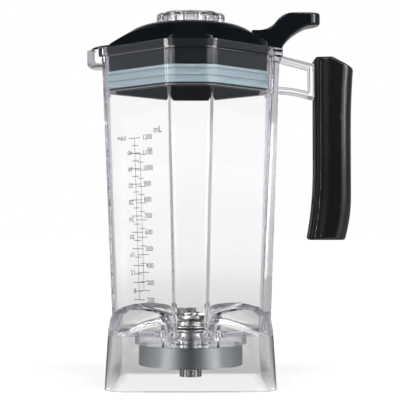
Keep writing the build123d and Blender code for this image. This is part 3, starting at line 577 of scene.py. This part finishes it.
def turn_to_front(tree, direction):
    """Return how far a direction turns about the object, from behind it (0) to the front (1)."""
    flat = tree.nodes.new("ShaderNodeVectorMath")
    flat.operation = "MULTIPLY"
    flat.inputs[1].default_value = (1, 1, 0)
    link(tree, direction, flat.inputs[0])
    level = tree.nodes.new("ShaderNodeVectorMath")
    level.operation = "NORMALIZE"
    link(tree, flat.outputs["Vector"], level.inputs[0])
    _, back, _ = split_axes(tree, level.outputs["Vector"])
    return math_node(tree, "MULTIPLY_ADD", back, -0.5, 0.5)


def strip_share(tree, direction):
    """Return 1 where a grey strip stands in a direction, and 0 on the sides between the strips."""
    right, back, _ = split_axes(tree, direction)
    turn = math_node(tree, "ARCTAN2", right, back)
    wave = math_node(tree, "COSINE", math_node(tree, "MULTIPLY", turn, SET_SIDES))
    return map_smoothly(tree, wave, STRIP_EDGE, -STRIP_EDGE)


def background_colour(tree, seen, unseen, clear, strips, mirrored):
    """Return the background's colour to the eye, on surfaces, through clear pieces and in polish."""
    path = tree.nodes.new("ShaderNodeLightPath")
    through = mix_colours(tree, strips, clear, STRIP_TONE)
    shown = mix_colours(tree, path.outputs["Is Transmission Ray"], unseen, through)
    in_polish = math_node(tree, "GREATER_THAN", path.outputs["Glossy Depth"], 0.5)
    shown = mix_colours(tree, in_polish, shown, mirrored)
    return mix_colours(tree, path.outputs["Is Camera Ray"], shown, seen)


def floor_white():
    """Make the floor's material: pale, with a share that takes light and shadow."""
    material = bpy.data.materials.new("floor_white")
    material.use_nodes = True
    tree = material.node_tree
    tree.nodes.clear()
    diffuse = tree.nodes.new("ShaderNodeBsdfDiffuse")
    eye = tree.nodes.new("ShaderNodeLightPath").outputs["Is Camera Ray"]
    link(tree, mix_colours(tree, eye, FLOOR_DULL, FLOOR_DULL_SEEN), diffuse.inputs["Color"])
    place = tree.nodes.new("ShaderNodeNewGeometry").outputs["Position"]
    right, back, _ = split_axes(tree, place)
    sides = [math_node(tree, "ABSOLUTE", side) for side in (right, back)]
    distance = math_node(tree, "MAXIMUM", *sides)
    shade = tone_ramp(tree, math_node(tree, "DIVIDE", distance, SHADE_REACH), SHADE_TONES)
    shade = mix_colours(tree, map_smoothly(tree, distance, SHADE_REACH, FAR_REACH), shade, FAR_TONE)
    away = map_smoothly(tree, distance, STRIP_NEAR, STRIP_FAR)
    strips = math_node(tree, "MULTIPLY", strip_share(tree, place), away)
    mirrored = tone_ramp(tree, turn_to_front(tree, place), FLOOR_TONES)
    # The floor glows less near the foot, a painted shade there
    past_foot = map_smoothly(tree, distance, SHADOW_NEAR, SHADOW_FAR)
    seen = mix_colours(tree, past_foot, FOOT_PAINTED_SHADE, FLOOR_SEEN)
    colour = background_colour(tree, seen, BLACK, shade, strips, mirrored)
    glow = tree.nodes.new("ShaderNodeEmission")
    glow.inputs["Strength"].default_value = FLOOR_LEVEL
    link(tree, colour, glow.inputs["Color"])
    both = tree.nodes.new("ShaderNodeAddShader")
    link(tree, diffuse.outputs[0], both.inputs[0])
    link(tree, glow.outputs[0], both.inputs[1])
    output = tree.nodes.new("ShaderNodeOutputMaterial")
    link(tree, both.outputs[0], output.inputs["Surface"])
    return material


def add_floor():
    """Add the floor that the object stands on."""
    mesh = bpy.data.meshes.new("floor")
    signs = [(-1, -1), (1, -1), (1, 1), (-1, 1)]
    corners = [(x * HALF_FLOOR, y * HALF_FLOOR, 0) for x, y in signs]
    mesh.from_pydata(corners, [], [(0, 1, 2, 3)])
    mesh.materials.append(floor_white())
    floor = bpy.data.objects.new("floor", mesh)
    floor.location.z = -FLOOR_DROP
    scene.collection.objects.link(floor)


def mirrored_room(tree, rise, turn):
    """Return the room's colour as polished surfaces mirror it, with the two soft lights."""
    overhead = map_smoothly(tree, rise, OVERHEAD_LOW, OVERHEAD_HIGH, high=OVERHEAD_DARK)
    horizon = map_smoothly(tree, rise, 0.0, HORIZON_RISE, low=HORIZON_DARK, high=0.0)
    above = map_smoothly(tree, rise, ABOVE_LOW, ABOVE_HIGH, high=ABOVE_DARK)
    behind = map_smoothly(tree, turn, BEHIND_NEAR, BEHIND_FAR, low=1.0, high=0.0)
    dark = math_node(tree, "MAXIMUM", overhead, horizon)
    dark = math_node(tree, "MAXIMUM", dark, math_node(tree, "MULTIPLY", above, behind))
    room = mix_colours(tree, dark, tone_ramp(tree, turn, ROOM_TONES), BLACK)
    foot = map_smoothly(tree, rise, LIGHT_FOOT_LOW, LIGHT_FOOT_HIGH, high=LIGHT_LEVEL)
    head = map_smoothly(tree, rise, LIGHT_HEAD_LOW, LIGHT_HEAD_HIGH, low=1.0, high=0.0)
    lit = tree.nodes.new("ShaderNodeVectorMath")
    lit.operation = "MULTIPLY_ADD"
    link(tree, tone_ramp(tree, turn, LIGHT_TONES), lit.inputs[0])
    link(tree, math_node(tree, "MULTIPLY", foot, head), lit.inputs[1])
    link(tree, room, lit.inputs[2])
    return lit.outputs["Vector"]


def add_world():
    """Add the room: white to the eye, a softer fill on surfaces, and tones in clear and polished pieces."""
    world = bpy.data.worlds.new("studio")
    scene.world = world
    world.use_nodes = True
    tree = world.node_tree
    direction = tree.nodes.new("ShaderNodeTexCoord").outputs["Generated"]
    _, _, rise = split_axes(tree, direction)
    mirrored = mirrored_room(tree, rise, turn_to_front(tree, direction))
    clear = mix_colours(tree, map_smoothly(tree, rise, 0.0, CLEAR_RISE), HORIZON_TONE, CLEAR_TONE)
    clear = mix_colours(tree, map_smoothly(tree, rise, CEILING_LOW, CEILING_HIGH), clear, CEILING_TONE)
    strips = strip_share(tree, direction)
    colour = background_colour(tree, WHITE, FILL, clear, strips, mirrored)
    link(tree, colour, tree.nodes["Background"].inputs["Color"])


def softbox(name, place, width, height, power):
    """Add a soft rectangular lamp that faces the object's middle."""
    lamp = bpy.data.lights.new(name, "AREA")
    lamp.shape = "RECTANGLE"
    lamp.size = width
    lamp.size_y = height
    lamp.energy = power
    holder = bpy.data.objects.new(name, lamp)
    holder.location = place
    holder.rotation_euler = (Vector(MIDDLE) - Vector(place)).to_track_quat("-Z", "Y").to_euler()
    scene.collection.objects.link(holder)


add_floor()
add_world()
softbox("lamp_high_left", place=(-0.45, -1.0, 1.45), width=0.5, height=0.4, power=9)
softbox("lamp_high_right", place=(0.45, -1.0, 1.45), width=0.5, height=0.4, power=9)
softbox("lamp_right", place=(1.1, -0.75, 0.75), width=0.2, height=0.9, power=11)
softbox("lamp_left", place=(-1.2, -0.7, 0.6), width=0.4, height=0.9, power=8)

# Light passes through many clear walls
scene.cycles.max_bounces = 64
scene.cycles.transmission_bounces = 64
scene.cycles.glossy_bounces = 24

# Camera
camera_data = bpy.data.cameras.new("camera")
camera_data.lens = LENS
camera_data.sensor_width = SENSOR
camera = bpy.data.objects.new("camera", camera_data)
camera.location = (0, -CAMERA_AWAY * MM, CAMERA_HEIGHT * MM)
camera.rotation_euler = (radians(90 + PITCH_UP), 0, radians(-YAW_RIGHT))
scene.collection.objects.link(camera)
scene.camera = camera
scene.view_settings.view_transform = "Standard"
